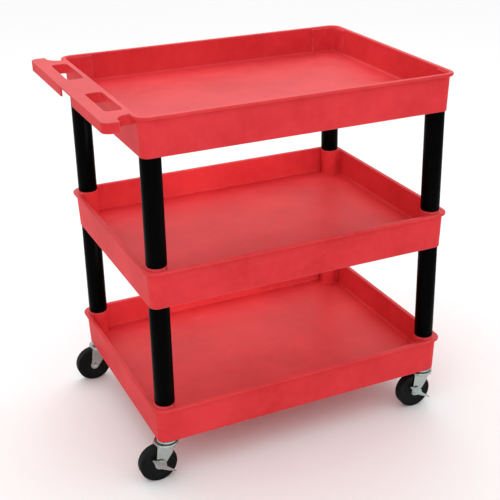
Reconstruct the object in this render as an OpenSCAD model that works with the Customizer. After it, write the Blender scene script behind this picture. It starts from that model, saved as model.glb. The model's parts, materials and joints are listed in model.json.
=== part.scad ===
// Three-shelf book cart: moulded tub shelves on tube legs, a push handle moulded on the top shelf,
// four swivel casters and side brake levers on the two front ones.
// Millimetres, +Z up, floor at z = 0, origin under the middle of the overall length and depth.
// +X runs away from the handle, +Y runs to the back. The brake levers face -Y.

/* [Shelves] */
// Length of a shelf over its rim, along X
shelf_l = 812.8; // [760:0.1:900]
// Depth of a shelf over its rim, along Y
shelf_d = 609.6; // [560:0.1:700]
// Height of the lowest rim above the floor
rim_low = 208.5; // [206:0.5:240]
// Distance from one rim to the next one up
pitch = 362.5; // [250:0.5:420]
// Height of the moulded wall of a shelf
shelf_h = 96; // [94:0.5:110]
// Depth of the tub, from rim to floor
tub_depth = 70; // [55:0.5:72]
// Wall and floor thickness of a shelf
wall = 4; // [3:0.5:5]
// Overhang of the rim beyond the wall
lip = 8; // [6:0.5:10]
// Thickness of the rim
lip_t = 8; // [7:0.5:10]
// How far the wall leans in from top to bottom
draft = 4.3; // [2:0.1:6]
// Outside corner radius of the rim
rim_r = 31; // [28:0.5:36]
// Edge rounding of the rim
edge_r = 3; // [1.5:0.5:3.5]
// Thickness of the thickened pads in the top shelf's corners
pad_t = 2.5; // [1:0.5:3]
// Length of a corner pad from the middle of the corner radius
pad_l = 53; // [30:1:80]

/* [Underside] */
// Depth of the stiffening ribs under a shelf floor
rib_h = 14; // [6:1:20]
// Thickness of a rib
rib_t = 3; // [2:0.5:5]
// Distance between the two ribs
rib_pitch = 160; // [120:5:200]

/* [Handle] */
// Reach of the handle beyond the rim
handle_reach = 72.1; // [66:0.1:85]
// Length of the handle along Y
handle_l = 606; // [560:1:640]
// Width of the grip bar
grip_w = 30.5; // [26:0.5:34]
// Width of the handle's two ends
end_w = 37; // [36:0.5:39]
// Depth of the skirt round the handle
skirt_h = 24.5; // [15:0.5:30]
// Half width of the neck that joins handle and shelf
neck_y = 259; // [245:1:268]
// Outer corner radius at the handle's ends
handle_r = 18; // [10:0.5:18.5]
// Radius of the hollow between handle end and neck
neck_r = 33; // [16:1:34]
// Inner end of a hand opening, from the middle
hand_y0 = 66; // [40:1:90]
// Outer end of a hand opening, from the middle
hand_y1 = 222; // [180:1:230]
// Distance of a hand opening from the rim
hand_in = 1; // [0.5:0.5:6]
// Corner radius of a hand opening
hand_r = 10; // [4:1:14]
// Front end of the gap in the outer skirt
gap_y0 = -67; // [-120:1:-20]
// Back end of the gap in the outer skirt
gap_y1 = 22; // [0:1:80]

/* [Legs] */
// Distance of a leg's middle from the rim, both ways
leg_inset = 37.6; // [37:0.1:42]
// Outside radius of a leg
leg_r = 24.5; // [20:0.1:24.6]
// Radius of the stepped leg ends
spigot_r = 18; // [14:0.1:19]
// Bore radius of the stepped ends
leg_bore = 14.5; // [8:0.5:15]
// Bore radius of a leg
leg_hollow = 21.5; // [16:0.5:22]
// Length of the lower stepped end
spigot_low = 58; // [30:1:60]
// Length of the upper stepped end
spigot_up = 19; // [10:1:20]
// Rounding of a leg's lower edge
leg_round = 3.5; // [1:0.5:5]
// Height of a leg post above the rim
post_rise = 3; // [1:0.5:6]
// Radius of a leg post at the tub floor, never less than at its top
post_foot_r = 25; // [24.6:0.1:25.4]

/* [Casters] */
// Radius of a wheel
wheel_r = 47.5; // [40:0.5:48]
// Half width of a wheel's tyre
tyre_w = 13; // [10:0.5:13]
// Distance the wheel trails behind the swivel
trail = 27.5; // [24:0.5:30]
// Radius of the wheel core inside the tyre
core_r = 37.5; // [30:0.5:40]
// Half width of the core's hub
hub_w = 14.3; // [13.5:0.1:14.5]
// Outside face of a fork leg from the wheel's middle
fork_w = 17; // [16.8:0.1:18]
// Sheet thickness of the fork
fork_t = 2.2; // [1.5:0.1:2.4]
// Radius of the fork's round crown
crown_r = 30.5; // [28:0.5:32]
// Height of the crown's top above the floor
crown_z = 104; // [103:0.5:105]
// Height of the skirt round the crown
crown_h = 7; // [4:0.5:7.5]
// Radius of the upper swivel cap
cap_r = 25; // [23:0.5:27]
// Thickness of the upper swivel cap
cap_t = 4.3; // [3:0.1:4.5]
// Number of bearing balls in a swivel
ball_n = 16; // [8:1:18]
// Radius of a bearing ball
ball_r = 2.4; // [2:0.1:2.5]
// Radius of the ring of balls
ball_ring = 19; // [15:0.5:20]
// Radius of a caster stem
stem_r = 5.5; // [4:0.1:6.5]
// Length of a stem inside its socket
stem_l = 19; // [12:1:20]
// Radius of an axle bolt
axle_r = 3; // [2.5:0.1:3.5]
// Outside radius of the sleeve on an axle
sleeve_r = 6.2; // [5.5:0.1:7]
// Width across the flats of bolt head and nut
nut_af = 10; // [9:0.5:10]
// Thickness of bolt head and nut
nut_t = 4.6; // [3:0.1:5]

/* [Brakes] */
// Tilt of a brake lever, front end down
lever_tilt = 27; // [15:1:35]
// Sheet thickness of a lever
lever_t = 1.8; // [1.2:0.1:2]
// Radius of a lever's hub
lever_r = 15.5; // [13:0.5:17]
// Outward width of the pedal
pedal_w = 18.2; // [15:0.1:19]
// Height of the pedal's fold above the axle
pedal_n = 10; // [9.8:0.1:11]
// Downward slope of the pedal
pedal_slope = 32; // [24:1:33]
// Reach of the pedal's pointed tail ahead of the axle
tail_s = 37; // [28:1:44]
// Radius of the lever's eye below the axle
eye_r = 8; // [6:0.5:9]
// Radius of the cam washer behind a lever
cam_r = 9; // [7:0.5:11]

/* [Hidden] */
$fn = 64;

red = [0.84, 0.16, 0.18];
black = [0.08, 0.08, 0.09];
zinc = [0.70, 0.73, 0.72];
steel = [0.60, 0.61, 0.63];

cx = handle_reach / 2;
hx = shelf_l / 2;
hy = shelf_d / 2;
leg_x = hx - leg_inset;
leg_y = hy - leg_inset;
rim_mid = rim_low + pitch;
rim_top = rim_mid + pitch;
base_z = rim_low - shelf_h;
bite = 0.5;
cut = 1;
arc_steps = 4;
skirt_drop = shelf_h - tub_depth - wall;
corner_fill_drop = 0.8;
fit = 0.1;
run = 0.08;
gap = 0.2;
floor_r = 6;
spigot_gap = 1;
socket_flange_r = 23;
cap_rise = 1.5;
cap_z = crown_z + cap_rise;
ball_z = cap_z - 0.75;
socket_flange_t = base_z - cap_z - cap_t - gap;
fork_end_r = 11.5;
thread_out = 0.4;
apron_low = 84;

// Points of a quarter turn about [cx0, cy0] from angle a0 to a1
function turn(cx0, cy0, r, a0, a1) =
  [for (i = [0:arc_steps]) let (a = a0 + (a1 - a0) * i / arc_steps) [cx0 + r * cos(a), cy0 + r * sin(a)]];

// Wall faces at depth t below the rim, measured in from the rim's outer edge
function wall_out(t) = lip + draft * t / shelf_h;
function wall_in(t) = wall_out(t) + wall;

// Cross-section of rim, wall, skirt and the edge of the floor: x runs out from the corner centre
wall_section = [for (p = concat(
  turn(edge_r, -edge_r, edge_r, 180, 90),
  turn(lip + wall - edge_r, -edge_r, edge_r, 90, 0),
  turn(wall_in(tub_depth) + floor_r, -tub_depth + floor_r, floor_r, 180, 270),
  [[rim_r, -tub_depth], [rim_r, -tub_depth - wall], [wall_in(tub_depth + wall), -tub_depth - wall],
   [wall_in(shelf_h), -shelf_h], [wall_out(shelf_h), -shelf_h], [wall_out(lip_t), -lip_t]],
  turn(edge_r, edge_r - lip_t, edge_r, 270, 180))) [rim_r - p[0], p[1]]];

// Cross-section of a corner pad laid on the inner wall
pad_section = [for (p = [
  [wall_in(edge_r) - bite, -edge_r], [wall_in(edge_r) + pad_t, -edge_r - pad_t],
  [wall_in(tub_depth) + pad_t, -tub_depth - bite], [wall_in(tub_depth) - bite, -tub_depth - bite]])
  [rim_r - p[0], p[1]]];

module quarter_mirror() {
  for (i = [0, 1], j = [0, 1]) mirror([i, 0, 0]) mirror([0, j, 0]) children();
}

// One corner of the tub wall
module wall_corner(section) {
  translate([hx - rim_r, hy - rim_r, 0]) rotate_extrude(angle = 90) polygon(section);
}

// Tub wall with its floor, rim top at z = 0
module tub() {
  inner_x = shelf_l - 2 * rim_r;
  inner_y = shelf_d - 2 * rim_r;
  for (s = [0, 1]) mirror([0, s, 0])
    translate([-inner_x / 2, hy - rim_r, 0])
      rotate([90, 0, 90]) linear_extrude(height = inner_x) polygon(wall_section);
  for (s = [0, 1]) mirror([s, 0, 0])
    translate([hx - rim_r, inner_y / 2, 0])
      rotate([90, 0, 0]) linear_extrude(height = inner_y) polygon(wall_section);
  quarter_mirror() wall_corner(wall_section);
  translate([-inner_x / 2, -inner_y / 2, -tub_depth - wall]) cube([inner_x, inner_y, wall]);
}

// Two lengthwise ribs under the floor
module ribs() {
  reach_x = shelf_l - 2 * wall_in(shelf_h) + wall;
  for (j = [-1, 1]) translate([-reach_x / 2, j * rib_pitch / 2 - rib_t / 2, -tub_depth - wall - rib_h])
    cube([reach_x, rib_t, rib_h + bite]);
}

// Ring under a corner that takes the stepped end of a leg or a stem socket
module under_ring() {
  translate([leg_x, leg_y, -shelf_h]) cylinder(h = skirt_drop + bite, r = leg_r - cut);
}

module under_bore() {
  translate([leg_x, leg_y, -shelf_h - cut]) cylinder(h = skirt_drop + cut, r = spigot_r + fit);
}

// Post in a tub corner that carries the leg above, tied to both walls
module post() {
  foot = -tub_depth - bite;
  top = post_rise - edge_r / 2;
  fill_h = tub_depth + bite - corner_fill_drop;
  mid = lip + wall / 2;
  web = leg_r - wall;
  translate([leg_x, leg_y, foot]) cylinder(h = top - foot, r1 = post_foot_r, r2 = leg_r);
  translate([leg_x, leg_y, top]) cylinder(h = edge_r / 2, r1 = leg_r, r2 = leg_r - edge_r / 2);
  translate([hx - rim_r, hy - rim_r, foot])
    cylinder(h = fill_h, r1 = rim_r - mid - draft * tub_depth / shelf_h, r2 = rim_r - mid);
  translate([leg_x, hy - rim_r - web, foot])
    cube([leg_inset - mid - draft / 3, web, fill_h]);
  translate([hx - rim_r - web, leg_y, foot])
    cube([web, leg_inset - mid - draft / 3, fill_h]);
}

module post_bore() {
  translate([leg_x, leg_y, post_rise - spigot_low - spigot_gap])
    cylinder(h = spigot_low + spigot_gap + cut, r = spigot_r + fit);
}

// Shelf with four leg posts
module posted_shelf() {
  difference() {
    union() {
      tub();
      ribs();
      quarter_mirror() { under_ring(); post(); }
    }
    quarter_mirror() { under_bore(); post_bore(); }
  }
}

// Thickened pads round one inside corner of the top shelf
module corner_pad() {
  wall_corner(pad_section);
  translate([hx - rim_r - pad_l, hy - rim_r, 0])
    rotate([90, 0, 90]) linear_extrude(height = pad_l) polygon(pad_section);
  translate([hx - rim_r, hy - rim_r, 0])
    rotate([90, 0, 0]) linear_extrude(height = pad_l * 3 / 4) polygon(pad_section);
}

// Rounded rectangle from corner a to corner b
module rounded(a, b, r) {
  translate([a[0] + r, a[1]]) square([b[0] - a[0] - 2 * r, b[1] - a[1]]);
  translate([a[0], a[1] + r]) square([b[0] - a[0], b[1] - a[1] - 2 * r]);
  for (x = [a[0] + r, b[0] - r], y = [a[1] + r, b[1] - r]) translate([x, y]) circle(r = r);
}

// Outline of the handle, drawn in by d on every free side
module handle_outline(d) {
  x0 = -hx - handle_reach;
  bar_x = x0 + end_w;
  rounded([x0 + d, d - handle_l / 2], [bar_x - d, handle_l / 2 - d], handle_r - d);
  translate([x0 + handle_r, d - handle_l / 2]) square([end_w - handle_r - d, handle_l - 2 * d]);
  translate([x0 + d, d - neck_y]) square([handle_reach + lip + wall / 8 - d, 2 * (neck_y - d)]);
  for (s = [0, 1]) mirror([0, s]) difference() {
    translate([bar_x - d - bite, neck_y - d - bite]) square([neck_r + d + bite, neck_r + d + bite]);
    translate([bar_x + neck_r, neck_y + neck_r]) circle(r = neck_r + d);
  }
}

module hand_openings(d) {
  x0 = -hx - handle_reach + grip_w;
  for (s = [0, 1]) mirror([0, s])
    rounded([x0 - d, hand_y0 - d], [-hx - hand_in + d, hand_y1 + d], hand_r + d);
}

// Handle: a plate with a skirt all round, walls round both hand openings and a gap in the outer skirt,
// and the skirt's ends carried into the leaning wall
module handle() {
  difference() {
    translate([0, 0, -skirt_h]) linear_extrude(height = skirt_h) handle_outline(0);
    difference() {
      translate([0, 0, -skirt_h - cut]) linear_extrude(height = skirt_h + cut - wall) handle_outline(wall);
      translate([0, 0, -skirt_h]) linear_extrude(height = skirt_h) hand_openings(wall - cut);
    }
    translate([0, 0, -skirt_h - cut]) linear_extrude(height = skirt_h + 2 * cut) hand_openings(0);
    translate([-hx - handle_reach - cut, gap_y0, -skirt_h - cut])
      cube([wall + cut + bite, gap_y1 - gap_y0, skirt_h + cut - wall]);
  }
  for (s = [0, 1]) mirror([0, s, 0])
    translate([-hx + lip - bite, neck_y - wall, -skirt_h]) cube([wall / 2 + bite, wall, skirt_h - lip_t]);
}

module top_shelf() color(red) translate([cx, 0, rim_top]) {
  difference() {
    union() {
      tub();
      ribs();
      quarter_mirror() { under_ring(); corner_pad(); }
    }
    quarter_mirror() under_bore();
  }
  handle();
}

module middle_shelf() color(red) translate([cx, 0, rim_mid]) posted_shelf();

module bottom_shelf() color(red) translate([cx, 0, rim_low]) posted_shelf();

// Tube leg with stepped ends, its lower shoulder at z = 0
module leg() {
  l = pitch - shelf_h - post_rise;
  step = leg_hollow - leg_bore;
  color(black) rotate_extrude() polygon(concat(
    [[leg_bore, -spigot_low], [spigot_r, -spigot_low], [spigot_r, 0]],
    turn(leg_r - leg_round, leg_round, leg_round, -90, 0),
    [[leg_r, l], [spigot_r, l], [spigot_r, l + spigot_up], [leg_bore, l + spigot_up],
     [leg_bore, l - wall], [leg_hollow, l - wall - step],
     [leg_hollow, wall + step], [leg_bore, wall]]));
}

module at_leg(i, j, rim) translate([cx + i * leg_x, j * leg_y, rim + post_rise]) children();

module at_caster(i, j) translate([cx + i * leg_x, j * leg_y, 0]) children();

// Plastic socket pressed into the underside of a bottom corner
module stem_socket() color(black) difference() {
  union() {
    translate([0, 0, base_z]) cylinder(h = skirt_drop - spigot_gap, r = spigot_r);
    translate([0, 0, base_z - socket_flange_t]) cylinder(h = socket_flange_t, r = socket_flange_r);
  }
  translate([0, 0, base_z - socket_flange_t - cut])
    cylinder(h = skirt_drop + socket_flange_t + 2 * cut, r = stem_r + fit / 2);
}

// Stem with its grip ring groove and the king pin that the fork turns on
module caster_stem() {
  groove = 1.2;
  tip = 2;
  pin_head_r = 9;
  pin_head_t = 2.5;
  pin_z = crown_z - fork_t;
  top_z = base_z - socket_flange_t + stem_l;
  color(steel) rotate_extrude() polygon([
    [0, pin_z - gap - pin_head_t], [pin_head_r - groove, pin_z - gap - pin_head_t],
    [pin_head_r, pin_z - gap - groove], [pin_head_r, pin_z - gap], [stem_r, pin_z - gap],
    [stem_r, top_z - 3 * tip], [stem_r - groove, top_z - 3 * tip],
    [stem_r - groove, top_z - 2 * tip], [stem_r, top_z - 2 * tip],
    [stem_r, top_z - tip], [stem_r - tip, top_z], [0, top_z]]);
}

// Upper half of the swivel: a pressed cap with a ball groove, fixed to the stem
module swivel_cap() color(zinc) difference() {
  union() {
    translate([0, 0, cap_z + cap_t / 3]) cylinder(h = cap_t * 2 / 3, r1 = cap_r, r2 = cap_r - cap_t / 2);
    translate([0, 0, cap_z]) cylinder(h = cap_t / 3, r = cap_r);
  }
  translate([0, 0, cap_z - cut]) cylinder(h = cap_t + 2 * cut, r = stem_r);
  translate([0, 0, ball_z]) rotate_extrude() translate([ball_ring, 0]) circle(r = ball_r + run);
}

// Bearing balls between cap and crown
module swivel_balls() color(steel)
  for (k = [0:ball_n - 1]) rotate([0, 0, 360 * k / ball_n])
    translate([ball_ring, 0, ball_z]) sphere(r = ball_r);

// Side outline of a fork leg: x forward, y up
fork_side = [
  [-trail - 11, wheel_r - 4], [-trail - 6.5, wheel_r + 20], [-trail - 3, crown_z - fork_t],
  [14, crown_z - fork_t], [9, apron_low], [7, apron_low - 9], [-9, 53], [-trail + 10, wheel_r - 5]];

// Stamped fork: round crown with a skirt, two legs and a rounded apron in front
module fork() {
  crown_x = -3;
  skirt_t = fork_t;
  apron_x = 3;
  color(zinc) difference() {
    union() {
      translate([crown_x, 0, crown_z - crown_h]) cylinder(h = crown_h - fork_t / 2, r = crown_r);
      translate([crown_x, 0, crown_z - fork_t / 2])
        cylinder(h = fork_t / 2, r1 = crown_r, r2 = crown_r - fork_t / 2);
      intersection() {
        translate([apron_x, 0, apron_low])
          cylinder(h = crown_z - fork_t - apron_low, r1 = fork_w, r2 = crown_r - 2 * fork_t);
        translate([apron_x, -crown_r, apron_low]) cube([crown_r, 2 * crown_r, crown_z - apron_low]);
      }
      for (s = [-1, 1]) translate([0, s * (fork_w - fork_t / 2), 0]) rotate([90, 0, 0]) {
        translate([0, 0, -fork_t / 2]) linear_extrude(height = fork_t) polygon(fork_side);
        translate([-trail, wheel_r, -fork_t / 2]) cylinder(h = fork_t, r = fork_end_r);
      }
    }
    translate([crown_x, 0, crown_z - crown_h - cut]) intersection() {
      cylinder(h = crown_h + cut - fork_t, r = crown_r - skirt_t);
      translate([-crown_r, fork_t - fork_w, 0]) cube([2 * crown_r, 2 * (fork_w - fork_t), crown_h]);
    }
    for (s = [0, 1]) mirror([0, s, 0])
      translate([crown_x, 0, crown_z - crown_h - cut]) intersection() {
        cylinder(h = crown_h + cut - fork_t, r = crown_r - skirt_t);
        translate([-crown_r, fork_w, 0]) cube([2 * crown_r, crown_r, crown_h]);
      }
    translate([apron_x, 0, apron_low - cut])
      cylinder(h = crown_z - fork_t - apron_low + cut, r1 = fork_w - fork_t, r2 = crown_r - 3.2 * fork_t);
    translate([0, 0, crown_z - crown_h]) cylinder(h = crown_h + cut, r = stem_r + run);
    translate([0, 0, ball_z]) rotate_extrude() translate([ball_ring, 0]) circle(r = ball_r + run);
    translate([-trail, 0, wheel_r]) rotate([90, 0, 0])
      cylinder(h = 3 * fork_w, r = axle_r + fit / 2, center = true);
  }
}

module at_axle() translate([-trail, 0, wheel_r]) rotate([90, 0, 0]) children();

lever_y = fork_w + 3;
nut_y = lever_y + lever_t + gap;

// Axle bolt: shank with a hexagon head on the back side; reach is where the nut sits
module axle_bolt(reach) color(steel) at_axle() {
  translate([0, 0, -fork_w]) cylinder(h = fork_w + reach + nut_t + thread_out, r = axle_r);
  translate([0, 0, -fork_w - nut_t]) cylinder(h = nut_t, r = nut_af / sqrt(3), $fn = 6);
}

module axle_nut(reach) color(steel) at_axle() translate([0, 0, reach]) difference() {
  cylinder(h = nut_t, r = nut_af / sqrt(3), $fn = 6);
  translate([0, 0, -cut]) cylinder(h = nut_t + 2 * cut, r = axle_r);
}

// Sleeve clamped between the fork legs, which the wheel turns on
module axle_sleeve() color(steel) at_axle() difference() {
  cylinder(h = 2 * (fork_w - fork_t), r = sleeve_r, center = true);
  cylinder(h = 3 * fork_w, r = axle_r + fit / 2, center = true);
}

// Wheel core: a disc with a dished web, a hub and a rim
module wheel_core() {
  rim_t = 5;
  web_w = tyre_w - 2.5;
  hub_r = 12;
  half = [[sleeve_r + run, hub_w], [hub_r - 1, hub_w], [hub_r, hub_w - 1], [hub_r + 1, web_w],
    [core_r - rim_t - 1, web_w], [core_r - rim_t, tyre_w - 1], [core_r, tyre_w - 1]];
  color(black) at_axle() rotate_extrude() polygon(concat(
    half, [for (k = [len(half) - 1:-1:0]) [half[k][0], -half[k][1]]]));
}

// Solid tyre with rounded shoulders and shallow rings on its side faces
module wheel_tyre() {
  shoulder = 4;
  ring_d = 0.6;
  ring_w = 1;
  rings = [for (k = [0:1]) let (r0 = core_r + 2 + 3 * k) each [
    [r0, tyre_w], [r0 + ring_d, tyre_w - ring_d], [r0 + ring_w, tyre_w - ring_d],
    [r0 + ring_w + ring_d, tyre_w]]];
  half = concat([[core_r, tyre_w - 1], [core_r + 1, tyre_w]], rings,
    turn(wheel_r - shoulder, tyre_w - shoulder, shoulder, 90, 0));
  color(black) at_axle() rotate_extrude() polygon(concat(
    half, [for (k = [len(half) - 1:-1:0]) [half[k][0], -half[k][1]]]));
}

// Cam washer between fork leg and lever
module brake_cam() color(steel) at_axle() translate([0, 0, fork_w]) difference() {
  union() {
    cylinder(h = lever_y - fork_w - gap, r = cam_r - 1);
    cylinder(h = (lever_y - fork_w) / 2, r = cam_r);
  }
  translate([0, 0, -cut]) cylinder(h = lever_y, r = axle_r + fit / 2);
}

// Stamped lever: a hub plate on the axle and a sloping pedal with a pointed tail
module brake_lever() {
  tip_s = -26;
  front_s = 12;
  hub_plate = [[tip_s, pedal_n + lever_t], [tip_s, pedal_n - lever_t], [-eye_r, 0], [eye_r, 0],
    [front_s, 3], [front_s, pedal_n + lever_t]];
  pedal = [[tip_s, 0], [-17, -pedal_w], [16.5, -pedal_w], [tail_s, -pedal_w + 0.5],
    [tail_s, -pedal_w + 2.5], [front_s, -pedal_w / 2], [front_s, 0]];
  color(zinc) translate([-trail, 0, wheel_r]) rotate([0, lever_tilt, 0]) difference() {
    union() {
      translate([0, -lever_y, 0]) rotate([90, 0, 0]) linear_extrude(height = lever_t) polygon(hub_plate);
      translate([0, -lever_y, 0]) rotate([90, 0, 0]) linear_extrude(height = lever_t) {
        circle(r = eye_r);
        intersection() {
          circle(r = lever_r);
          translate([-lever_r, 0]) square([2 * lever_r, lever_r]);
        }
      }
      translate([0, -lever_y - lever_t / 2, pedal_n]) rotate([pedal_slope, 0, 0])
        linear_extrude(height = lever_t) polygon(pedal);
    }
    rotate([90, 0, 0]) cylinder(h = lever_y + 2 * lever_t, r = axle_r + run);
  }
}

top_shelf();
middle_shelf();
bottom_shelf();
at_leg(-1, -1, rim_mid) leg();  // upper_leg_front_left
at_leg(1, -1, rim_mid) leg();  // upper_leg_front_right
at_leg(-1, 1, rim_mid) leg();  // upper_leg_back_left
at_leg(1, 1, rim_mid) leg();  // upper_leg_back_right
at_leg(-1, -1, rim_low) leg();  // lower_leg_front_left
at_leg(1, -1, rim_low) leg();  // lower_leg_front_right
at_leg(-1, 1, rim_low) leg();  // lower_leg_back_left
at_leg(1, 1, rim_low) leg();  // lower_leg_back_right
at_caster(-1, -1) stem_socket();  // stem_socket_front_left
at_caster(1, -1) stem_socket();  // stem_socket_front_right
at_caster(-1, 1) stem_socket();  // stem_socket_back_left
at_caster(1, 1) stem_socket();  // stem_socket_back_right
at_caster(-1, -1) caster_stem();  // caster_stem_front_left
at_caster(1, -1) caster_stem();  // caster_stem_front_right
at_caster(-1, 1) caster_stem();  // caster_stem_back_left
at_caster(1, 1) caster_stem();  // caster_stem_back_right
at_caster(-1, -1) swivel_cap();  // swivel_cap_front_left
at_caster(1, -1) swivel_cap();  // swivel_cap_front_right
at_caster(-1, 1) swivel_cap();  // swivel_cap_back_left
at_caster(1, 1) swivel_cap();  // swivel_cap_back_right
at_caster(-1, -1) swivel_balls();  // swivel_balls_front_left
at_caster(1, -1) swivel_balls();  // swivel_balls_front_right
at_caster(-1, 1) swivel_balls();  // swivel_balls_back_left
at_caster(1, 1) swivel_balls();  // swivel_balls_back_right
at_caster(-1, -1) fork();  // fork_front_left
at_caster(1, -1) fork();  // fork_front_right
at_caster(-1, 1) fork();  // fork_back_left
at_caster(1, 1) fork();  // fork_back_right
at_caster(-1, -1) axle_bolt(nut_y);  // axle_bolt_front_left
at_caster(1, -1) axle_bolt(nut_y);  // axle_bolt_front_right
at_caster(-1, 1) axle_bolt(fork_w);  // axle_bolt_back_left
at_caster(1, 1) axle_bolt(fork_w);  // axle_bolt_back_right
at_caster(-1, -1) axle_nut(nut_y);  // axle_nut_front_left
at_caster(1, -1) axle_nut(nut_y);  // axle_nut_front_right
at_caster(-1, 1) axle_nut(fork_w);  // axle_nut_back_left
at_caster(1, 1) axle_nut(fork_w);  // axle_nut_back_right
at_caster(-1, -1) axle_sleeve();  // axle_sleeve_front_left
at_caster(1, -1) axle_sleeve();  // axle_sleeve_front_right
at_caster(-1, 1) axle_sleeve();  // axle_sleeve_back_left
at_caster(1, 1) axle_sleeve();  // axle_sleeve_back_right
at_caster(-1, -1) wheel_core();  // wheel_core_front_left
at_caster(1, -1) wheel_core();  // wheel_core_front_right
at_caster(-1, 1) wheel_core();  // wheel_core_back_left
at_caster(1, 1) wheel_core();  // wheel_core_back_right
at_caster(-1, -1) wheel_tyre();  // wheel_tyre_front_left
at_caster(1, -1) wheel_tyre();  // wheel_tyre_front_right
at_caster(-1, 1) wheel_tyre();  // wheel_tyre_back_left
at_caster(1, 1) wheel_tyre();  // wheel_tyre_back_right
at_caster(-1, -1) brake_cam();  // brake_cam_front_left
at_caster(1, -1) brake_cam();  // brake_cam_front_right
at_caster(-1, -1) brake_lever();  // brake_lever_front_left
at_caster(1, -1) brake_lever();  // brake_lever_front_right
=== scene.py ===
"""Looks of the book cart: red moulded shelves, black tube legs and zinc casters."""

import json
import math

import bpy
from mathutils import Matrix, Vector


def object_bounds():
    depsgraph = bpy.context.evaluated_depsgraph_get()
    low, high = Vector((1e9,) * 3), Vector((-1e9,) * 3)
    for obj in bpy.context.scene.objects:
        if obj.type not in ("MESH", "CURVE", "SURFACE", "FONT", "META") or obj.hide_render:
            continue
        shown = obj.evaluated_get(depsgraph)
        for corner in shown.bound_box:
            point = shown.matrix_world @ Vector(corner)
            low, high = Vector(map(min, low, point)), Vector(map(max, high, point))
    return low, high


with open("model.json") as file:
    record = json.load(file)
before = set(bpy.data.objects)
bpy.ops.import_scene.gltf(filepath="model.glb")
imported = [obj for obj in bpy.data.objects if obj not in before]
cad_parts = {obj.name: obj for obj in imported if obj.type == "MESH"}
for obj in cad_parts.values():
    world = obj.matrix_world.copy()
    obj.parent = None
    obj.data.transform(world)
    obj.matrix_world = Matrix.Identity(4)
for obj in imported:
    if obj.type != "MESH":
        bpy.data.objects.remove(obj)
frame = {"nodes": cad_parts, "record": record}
cad_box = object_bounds()
record = frame["record"]
nodes = frame["nodes"]


# ---------------------------------------------------------------- materials


class Surface:
    """A Principled material whose patterns follow object coordinates, in metres."""

    def __init__(self, name, **fixed):
        self.material = bpy.data.materials.new(name)
        self.material.use_nodes = True
        self.tree = self.material.node_tree
        self.tree.nodes.clear()
        self.shader = self.node("ShaderNodeBsdfPrincipled")
        output = self.node("ShaderNodeOutputMaterial")
        self.tree.links.new(self.shader.outputs["BSDF"], output.inputs["Surface"])
        self.coords = self.node("ShaderNodeTexCoord").outputs["Object"]
        self.geometry = self.node("ShaderNodeNewGeometry")
        for socket, value in fixed.items():
            self.shader.inputs[socket.replace("_", " ")].default_value = value

    def node(self, kind, **settings):
        made = self.tree.nodes.new(kind)
        for key, value in settings.items():
            setattr(made, key, value)
        return made

    def put(self, socket, value):
        """Links an output or sets a constant."""
        if isinstance(value, bpy.types.NodeSocket):
            self.tree.links.new(value, socket)
        else:
            socket.default_value = value

    def stretched(self, scale):
        made = self.node("ShaderNodeVectorMath", operation="MULTIPLY")
        self.put(made.inputs[0], self.coords)
        made.inputs[1].default_value = scale
        return made.outputs[0]

    def noise(self, scale, detail=3, rough=0.5, along=(1, 1, 1)):
        """Cloudy pattern; a small number in along draws it out on that axis."""
        made = self.node("ShaderNodeTexNoise")
        self.put(made.inputs["Vector"], self.stretched(along))
        made.inputs["Scale"].default_value = scale
        made.inputs["Detail"].default_value = detail
        made.inputs["Roughness"].default_value = rough
        return made.outputs["Fac"]

    def cells(self, scale):
        """One random colour for each small cell."""
        made = self.node("ShaderNodeTexVoronoi")
        self.put(made.inputs["Vector"], self.coords)
        made.inputs["Scale"].default_value = scale
        return made.outputs["Color"]

    def span(self, value, lo, hi, to_lo=0.0, to_hi=1.0):
        """Maps lo..hi to to_lo..to_hi, clamped."""
        made = self.node("ShaderNodeMapRange")
        self.put(made.inputs["Value"], value)
        for key, number in (("From Min", lo), ("From Max", hi), ("To Min", to_lo), ("To Max", to_hi)):
            made.inputs[key].default_value = number
        return made.outputs["Result"]

    def maths(self, operation, a, b):
        made = self.node("ShaderNodeMath", operation=operation)
        self.put(made.inputs[0], a)
        self.put(made.inputs[1], b)
        return made.outputs[0]

    def mix(self, share, a, b):
        """Mixes two colours; 6, 7 and 2 are the node's colour sockets."""
        made = self.node("ShaderNodeMix", data_type="RGBA")
        self.put(made.inputs["Factor"], share)
        self.put(made.inputs[6], a)
        self.put(made.inputs[7], b)
        return made.outputs[2]

    def edges(self, radius):
        """1 on sharp edges, 0 on plain faces."""
        bevel = self.node("ShaderNodeBevel", samples=4)
        bevel.inputs["Radius"].default_value = radius
        dot = self.node("ShaderNodeVectorMath", operation="DOT_PRODUCT")
        self.put(dot.inputs[0], bevel.outputs["Normal"])
        self.put(dot.inputs[1], self.geometry.outputs["Normal"])
        return self.span(dot.outputs["Value"], 0.99, 0.86)

    def facing_up(self):
        """1 on faces that look up, 0 on walls."""
        parts = self.node("ShaderNodeSeparateXYZ")
        self.put(parts.inputs[0], self.geometry.outputs["Normal"])
        return self.span(parts.outputs["Z"], 0.7, 0.95)

    def rounded(self, radius):
        """Normals that turn smoothly across sharp edges."""
        bevel = self.node("ShaderNodeBevel", samples=6)
        bevel.inputs["Radius"].default_value = radius
        return bevel.outputs["Normal"]

    def relief(self, *layers, normal=None):
        """Bumps laid on each other; a layer is (height, strength, distance in metres)."""
        for height, strength, distance in layers:
            bump = self.node("ShaderNodeBump")
            self.put(bump.inputs["Height"], height)
            bump.inputs["Strength"].default_value = strength
            bump.inputs["Distance"].default_value = distance
            if normal is not None:
                self.put(bump.inputs["Normal"], normal)
            normal = bump.outputs["Normal"]
        self.put(self.shader.inputs["Normal"], normal)

    def finish(self, colour, roughness):
        self.put(self.shader.inputs["Base Color"], colour)
        self.put(self.shader.inputs["Roughness"], roughness)
        return self.material


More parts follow.
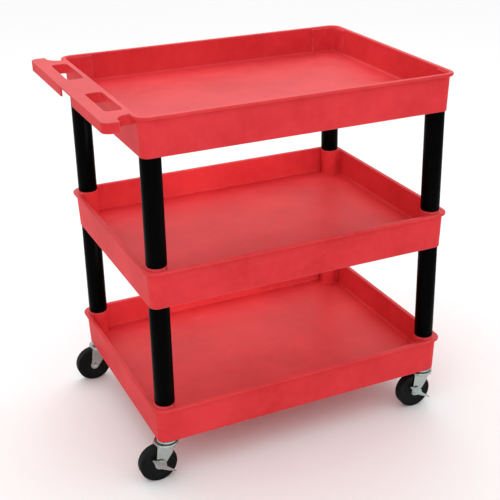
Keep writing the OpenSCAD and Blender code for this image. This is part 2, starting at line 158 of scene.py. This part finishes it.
def shelf_plastic():
    """Satin moulded red: faint mottling, fine grain, rubbed edges with painted highlight, scuffed and
    shinier upper faces.
    """
    s = Surface("shelf_plastic", IOR=1.46)
    s.put(s.shader.inputs["Specular IOR Level"], s.span(s.facing_up(), 0, 1, 0.04, 0.38))
    cloud, patch = s.noise(6, 4, 0.55), s.noise(34, 5, 0.6)
    body = s.mix(s.span(cloud, 0.35, 0.68), (0.62, 0.031, 0.037, 1), (0.74, 0.047, 0.054, 1))
    body = s.mix(s.span(patch, 0.45, 0.75, 0, 0.5), body, (0.75, 0.056, 0.064, 1))
    # Lighter edges: partly rubbed wear, partly a painted highlight along the rims.
    edge_wear_and_highlight = s.maths("MULTIPLY", s.edges(0.0035), s.span(s.noise(55, 4), 0.40, 0.60, 0.25, 0.75))
    streak = s.span(s.noise(42, 6, 0.65, (0.25, 1.4, 1)), 0.60, 0.72)
    scuff = s.maths("MULTIPLY", streak, s.span(s.noise(8, 2), 0.46, 0.66, 0, 0.45))
    scuff = s.maths("MULTIPLY", scuff, s.facing_up())
    # This light red paints the rubbed edges with their painted highlight, and the scuffs on upper faces.
    colour = s.mix(s.maths("MAXIMUM", edge_wear_and_highlight, scuff), body, (0.80, 0.17, 0.18, 1))
    roughness = s.maths("ADD", s.span(patch, 0.3, 0.7, 0.40, 0.50), s.maths("MULTIPLY", scuff, 0.15))
    waves = (s.noise(11, 2), 0.25, 0.0014)
    ripple = (s.noise(210, 2), 0.16, 0.0003)
    grain = (s.noise(1300, 2), 0.14, 0.00014)
    s.relief(waves, ripple, grain, normal=s.rounded(0.003))
    return s.finish(colour, roughness)


def grey(level):
    return (level, level, level, 1)


def black_plastic(name, base, rubbed_colour, roughness, along, shine):
    """Satin black plastic with draw lines along one axis and greyer edges."""
    s = Surface(name, Specular_IOR_Level=shine, IOR=1.48)
    lines = s.noise(260, 4, 0.6, along)
    patch = s.noise(24, 4, 0.6)
    body = s.mix(s.span(patch, 0.35, 0.7), base, tuple(c * 1.7 for c in base[:3]) + (1,))
    wear = s.maths("MULTIPLY", s.edges(0.0022), s.span(s.noise(70, 4), 0.44, 0.64, 0, 0.6))
    specks = s.maths("MULTIPLY", s.span(s.noise(420, 5), 0.66, 0.74), 0.25)
    colour = s.mix(s.maths("MAXIMUM", wear, specks), body, rubbed_colour)
    s.relief((lines, 0.12, 0.00012), (s.noise(900, 2), 0.10, 0.0001))
    return s.finish(colour, s.span(patch, 0.3, 0.7, roughness - 0.05, roughness + 0.09))


def zinc_sheet():
    """Bright zinc plate: small crystal patches, rolling lines and dull spots."""
    s = Surface("zinc_sheet", Metallic=1.0)
    spangle = s.node("ShaderNodeSeparateColor")
    s.put(spangle.inputs[0], s.cells(420))
    body = s.mix(s.span(spangle.outputs[0], 0, 1, 0, 0.5), (0.40, 0.46, 0.44, 1), (0.50, 0.56, 0.54, 1))
    tint = s.span(s.noise(30, 3), 0.42, 0.66, 0, 0.4)
    body = s.mix(tint, body, (0.36, 0.45, 0.41, 1))
    dull = s.span(s.noise(130, 5, 0.65), 0.58, 0.74, 0, 0.55)
    body = s.mix(dull, body, (0.29, 0.32, 0.31, 1))
    body = s.mix(s.maths("MULTIPLY", s.edges(0.0008), 0.6), body, (0.72, 0.77, 0.75, 1))
    s.relief((s.noise(300, 4, 0.6, (0.15, 1, 1)), 0.14, 0.0001), (s.noise(90, 2), 0.16, 0.0003))
    polish = s.span(spangle.outputs[1], 0, 1, 0.26, 0.36)
    return s.finish(body, s.maths("ADD", polish, s.maths("MULTIPLY", dull, 0.3)))


def turned_steel(name, light, dark, roughness):
    """Plated or polished steel with turning marks and dark spots."""
    s = Surface(name, Metallic=1.0)
    spots = s.span(s.noise(260, 5, 0.65), 0.56, 0.74, 0, 0.6)
    colour = s.mix(spots, light, dark)
    colour = s.mix(s.maths("MULTIPLY", s.edges(0.0005), 0.5), colour, (0.85, 0.85, 0.86, 1))
    s.relief((s.noise(1500, 2, 0.5, (1, 0.2, 1)), 0.12, 0.00006))
    return s.finish(colour, s.span(s.noise(180, 3), 0.3, 0.7, roughness - 0.06, roughness + 0.1))


def tyre_rubber():
    """Dull black rubber with grain and a little grey dust."""
    s = Surface("tyre_rubber", Specular_IOR_Level=0.09)
    dust = s.maths("MULTIPLY", s.span(s.noise(60, 6, 0.65), 0.48, 0.72), 0.4)
    patch = s.span(s.noise(20, 3), 0.35, 0.7)
    colour = s.mix(patch, (0.0042, 0.0050, 0.0048, 1), (0.0078, 0.0090, 0.0086, 1))
    colour = s.mix(dust, colour, (0.022, 0.022, 0.021, 1))
    s.relief((s.noise(120, 3), 0.2, 0.0003), (s.noise(1100, 3), 0.25, 0.00016))
    return s.finish(colour, s.span(s.noise(45, 4), 0.3, 0.7, 0.50, 0.68))


EVEN = (1, 1, 1)
DRAWN_UPRIGHT = (1, 1, 0.02)

materials = {
    "shelf_plastic": shelf_plastic(),
    "leg_plastic": black_plastic(
        "leg_plastic", (0.0006, 0.0006, 0.0007, 1), grey(0.006), 0.30, DRAWN_UPRIGHT, shine=0.02
    ),
    "socket_plastic": black_plastic(
        "socket_plastic", (0.012, 0.012, 0.013, 1), grey(0.05), 0.5, EVEN, shine=0.3
    ),
    "wheel_plastic": black_plastic(
        "wheel_plastic", (0.0045, 0.0050, 0.0050, 1), (0.024, 0.025, 0.024, 1), 0.38, EVEN, shine=0.09
    ),
    "zinc_sheet": zinc_sheet(),
    "bolt_steel": turned_steel("bolt_steel", (0.60, 0.61, 0.63, 1), (0.28, 0.27, 0.26, 1), 0.32),
    "ball_steel": turned_steel("ball_steel", (0.75, 0.75, 0.77, 1), (0.45, 0.45, 0.46, 1), 0.15),
    "tyre_rubber": tyre_rubber(),
}

# How far an edge is rounded, in metres, for each material slot.
ROUNDING = {
    "shelf_plastic": 0.0022,
    "leg_plastic": 0.0006,
    "zinc_sheet": 0.00035,
    "bolt_steel": 0.0003,
    "wheel_plastic": 0.0004,
}

WELD_REACH = 1e-5  # metres, joins the seams that the export leaves open
SHARP_ANGLE = math.radians(40)

for part in record["subparts"]:
    slot = part["material_slot"]
    mesh_object = nodes[part["node"]]
    mesh_object.data.materials.clear()
    mesh_object.data.materials.append(materials[slot])
    if slot in ROUNDING:
        weld = mesh_object.modifiers.new("join_seams", "WELD")
        weld.merge_threshold = WELD_REACH
        bevel = mesh_object.modifiers.new("soft_edges", "BEVEL")
        bevel.width = ROUNDING[slot]
        bevel.segments = 2
        bevel.limit_method = "ANGLE"
        bevel.angle_limit = SHARP_ANGLE
        bevel.harden_normals = True


# ------------------------------------------------------------ floor and light

centre = (cad_box[0] + cad_box[1]) / 2
FLOOR_SIZE = 40
FLOOR_GAP = 0.0002  # keeps the tyres from sharing a plane with the floor

bpy.ops.mesh.primitive_plane_add(size=FLOOR_SIZE, location=(centre.x, centre.y, cad_box[0].z - FLOOR_GAP))
floor = bpy.context.object
floor.name = "studio_floor"
paper = Surface("studio_paper")
floor.data.materials.append(
    paper.finish(paper.mix(paper.noise(0.6, 2), grey(0.94), grey(0.96)), 0.85)
)

LOW_SKY, HIGH_SKY = 0.80, 1.06  # strength at the horizon and overhead
PANEL_POWER = 0.85
PANEL_SPREAD = math.radians(95)
PANEL_WIDTH, PANEL_HEIGHT = 0.92, 0.6  # shares of a bay's length and height

world = bpy.data.worlds.new("studio")
bpy.context.scene.world = world
world.use_nodes = True
sky = world.node_tree
backdrop = sky.nodes["Background"]
backdrop.inputs["Color"].default_value = (1, 1, 1, 1)
direction = sky.nodes.new("ShaderNodeSeparateXYZ")
sky.links.new(sky.nodes.new("ShaderNodeTexCoord").outputs["Generated"], direction.inputs[0])
height = sky.nodes.new("ShaderNodeMapRange")
height.interpolation_type = "SMOOTHSTEP"
sky.links.new(direction.outputs["Z"], height.inputs["Value"])
for key, number in (("From Min", 0.15), ("From Max", 0.7), ("To Min", LOW_SKY), ("To Max", HIGH_SKY)):
    height.inputs[key].default_value = number
sky.links.new(height.outputs["Result"], backdrop.inputs["Strength"])


def rectangular_lamp(name, size, power):
    data = bpy.data.lights.new(name, "AREA")
    data.shape = "RECTANGLE"
    data.size, data.size_y = size
    data.energy = power
    lamp = bpy.data.objects.new(name, data)
    bpy.context.scene.collection.objects.link(lamp)
    return lamp


def softbox(name, place, size, power):
    """A large lamp at a place measured from the cart's centre, aimed at it."""
    lamp = rectangular_lamp(name, size, power)
    lamp.location = centre + Vector(place)
    lamp.rotation_euler = (-Vector(place)).to_track_quat("-Z", "Y").to_euler()


def bay_fill(low, high):
    """A weak panel, unseen by the camera, in the mouth of the bay from low to high, facing in."""
    size = (PANEL_WIDTH * (high.x - low.x), PANEL_HEIGHT * (high.z - low.z))
    panel = rectangular_lamp("bay_fill", size, PANEL_POWER)
    panel.data.spread = PANEL_SPREAD
    panel.location = ((low.x + high.x) / 2, low.y, (low.z + high.z) / 2)
    panel.rotation_euler = (math.radians(90), 0, 0)
    panel.visible_camera = False


softbox("key", (-1.4, -2.4, 2.6), (2.4, 2.0), 14)
softbox("overhead", (0.4, 1.5, 2.6), (2.8, 2.0), 22)

for opening in record["physics"]["openings"]:
    if opening["name"].endswith("bay_front_to_back"):
        bay_fill(*(Vector(corner) for corner in opening["box_m"]))

# --------------------------------------------------------------------- camera

CAMERA_PLACE = (-1.0242, -2.3275, 1.5876)
YAW, PITCH, ROLL = 0.4623, 0.4103, -0.0050
forward = Vector((math.sin(YAW) * math.cos(PITCH), math.cos(YAW) * math.cos(PITCH), -math.sin(PITCH)))
level = Vector((math.cos(YAW), -math.sin(YAW), 0))
upright = level.cross(forward)
right = level * math.cos(ROLL) + upright * math.sin(ROLL)
up = upright * math.cos(ROLL) - level * math.sin(ROLL)
camera_data = bpy.data.cameras.new("camera")
camera_data.lens = 75.586
camera_data.shift_x, camera_data.shift_y = -0.0776, -0.0336
camera = bpy.data.objects.new("camera", camera_data)
bpy.context.scene.collection.objects.link(camera)
turned = Matrix((right, up, -forward)).transposed().to_4x4()
camera.matrix_world = Matrix.Translation(CAMERA_PLACE) @ turned
bpy.context.scene.camera = camera
bpy.context.scene.view_settings.view_transform = "Standard"
